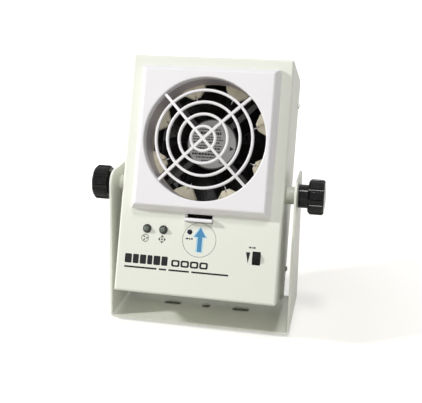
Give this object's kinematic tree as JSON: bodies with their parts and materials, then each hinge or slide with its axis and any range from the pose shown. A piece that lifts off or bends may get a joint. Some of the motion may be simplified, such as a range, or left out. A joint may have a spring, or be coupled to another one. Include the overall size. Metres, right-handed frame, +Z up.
{
  "type": "ionizing blower",
  "caption": "Bench-top ionizing air blower: a sheet-steel case with a fan, needle ring and clip-on grille, tilting between clamp knobs in a U-shaped stand.",
  "frame": {"origin": "on the table, under the middle of the tilt axis", "axes": "+X along the tilt axis, to the right seen from the front; -Y towards the front, where the air comes out; +Z up"},
  "size_m": [0.216, 0.1547, 0.2401],
  "materials": {
    "case_paint": "satin powder coat",
    "rubber": "matte",
    "knob_plastic": "glossy",
    "bare_steel": "zinc plated",
    "white_plastic": "fine matte",
    "grey_plastic": "matte",
    "cream_plastic": "matte",
    "needle_metal": "ground",
    "black_plastic": "fine matte",
    "label_foil": "satin foil",
    "magnet": "matte",
    "copper": "enamelled wire",
    "lead_black": "matte",
    "foam": "open foam",
    "brass": "plain",
    "fuse_glass": "clear with metal caps",
    "board": "solder mask",
    "lamp_lens": "dark tinted",
    "trim_blue": "matte",
    "grey_dark_plastic": "matte",
    "lead_red": "silicone",
    "lead_green": "matte",
    "ribbon_grey": "matte",
    "transformer_tape": "tape",
    "capacitor_sleeve": "sleeve"
  },
  "bodies": {
    "stand": {"stand_bracket": "case_paint", "stand_feet": "rubber"},
    "head": {"pivot_spacers": "case_paint", "case_shell": "case_paint", "pivot_nuts": "bare_steel", "rear_panel": "case_paint", "case_screws": "bare_steel", "latch_guide": "white_plastic", "air_duct": "grey_plastic", "emitter_ring": "cream_plastic", "emitter_needles": "needle_metal", "emitter_wire": "needle_metal", "weld_studs": "bare_steel", "fan_nuts": "bare_steel", "fan_frame": "black_plastic", "motor_label": "label_foil", "fan_bearings": "bare_steel", "fan_stator": "copper", "fan_lead": "lead_black", "intake_gasket": "foam", "filter_base": "black_plastic", "filter_screws": "bare_steel", "filter_foam": "foam", "power_inlet": "black_plastic", "inlet_screws": "bare_steel", "inlet_pins": "bare_steel", "inlet_terminals": "brass", "control_board": "board", "board_standoffs": "bare_steel", "board_screws": "bare_steel", "lamp_bezels": "black_plastic", "status_lamps": "lamp_lens", "trim_pot": "trim_blue", "speed_pot": "grey_dark_plastic", "hv_module": "black_plastic", "hv_leads": "lead_red", "supply_board": "board", "supply_standoffs": "bare_steel", "supply_transformer": "transformer_tape", "supply_capacitor": "capacitor_sleeve", "mains_leads": "lead_black", "earth_lead": "lead_green", "board_leads": "ribbon_grey"},
    "knob_left": {"knob_left": "knob_plastic", "knob_stud_left": "bare_steel"},
    "knob_right": {"knob_right": "knob_plastic", "knob_stud_right": "bare_steel"},
    "cover": {"front_cover": "white_plastic", "cover_grille": "white_plastic"},
    "latch": {"cover_latch": "white_plastic"},
    "rotor": {"fan_rotor": "black_plastic", "rotor_magnet": "magnet", "fan_shaft": "bare_steel"},
    "wheel": {"speed_wheel": "black_plastic", "pot_shaft": "bare_steel"},
    "trimmer": {"trim_screw": "brass"},
    "rocker": {"power_rocker": "knob_plastic"},
    "drawer": {"fuse_drawer": "black_plastic", "fuse": "fuse_glass"},
    "retainer": {"filter_retainer": "black_plastic"}
  },
  "joints": [
    {"name": "head_tilt", "type": "hinge", "parent": "stand", "child": "head", "pos_m": [0, 0, 0.12246], "axis": [1, 0, 0], "range_deg": [-69.5, 110.5]},
    {"name": "knob_left_turn", "type": "hinge", "parent": "head", "child": "knob_left", "pos_m": [-0.09, 0, 0.12246], "axis": [-1, 0, 0], "range_deg": [0, 360]},
    {"name": "knob_right_turn", "type": "hinge", "parent": "head", "child": "knob_right", "pos_m": [0.09, 0, 0.12246], "axis": [1, 0, 0], "range_deg": [0, 360]},
    {"name": "cover_pull", "type": "slide", "parent": "head", "child": "cover", "axis": [0, -0.9367, 0.3502], "range_m": [0, 0.006]},
    {"name": "latch_lift", "type": "slide", "parent": "head", "child": "latch", "axis": [0, 0.3502, 0.9367], "range_m": [0, 0.0018]},
    {"name": "rotor_spin", "type": "hinge", "parent": "head", "child": "rotor", "pos_m": [0, 0.01471, 0.1618], "axis": [0, 0.9367, -0.3502], "continuous": true},
    {"name": "wheel_turn", "type": "hinge", "parent": "head", "child": "wheel", "pos_m": [0.0532, -0.04099, 0.07565], "axis": [1, 0, 0], "range_deg": [-135, 135]},
    {"name": "trimmer_turn", "type": "hinge", "parent": "head", "child": "trimmer", "pos_m": [-0.0075, -0.03274, 0.09199], "axis": [0, 0.9367, -0.3502], "range_deg": [-135, 135]},
    {"name": "rocker_tip", "type": "hinge", "parent": "head", "child": "rocker", "pos_m": [0.036, 0.0328, 0.06599], "axis": [1, 0, 0], "range_deg": [0, 16]},
    {"name": "drawer_slide", "type": "slide", "parent": "head", "child": "drawer", "axis": [0, 0.9367, -0.3502], "range_m": [0, 0.018]},
    {"name": "retainer_pull", "type": "slide", "parent": "head", "child": "retainer", "axis": [0, 0.9367, -0.3502], "range_m": [0, 0.012]}
  ],
  "couplings": [
    {"joint": "latch_lift", "follows": "cover_pull", "ratio": 0.3}
  ]
}
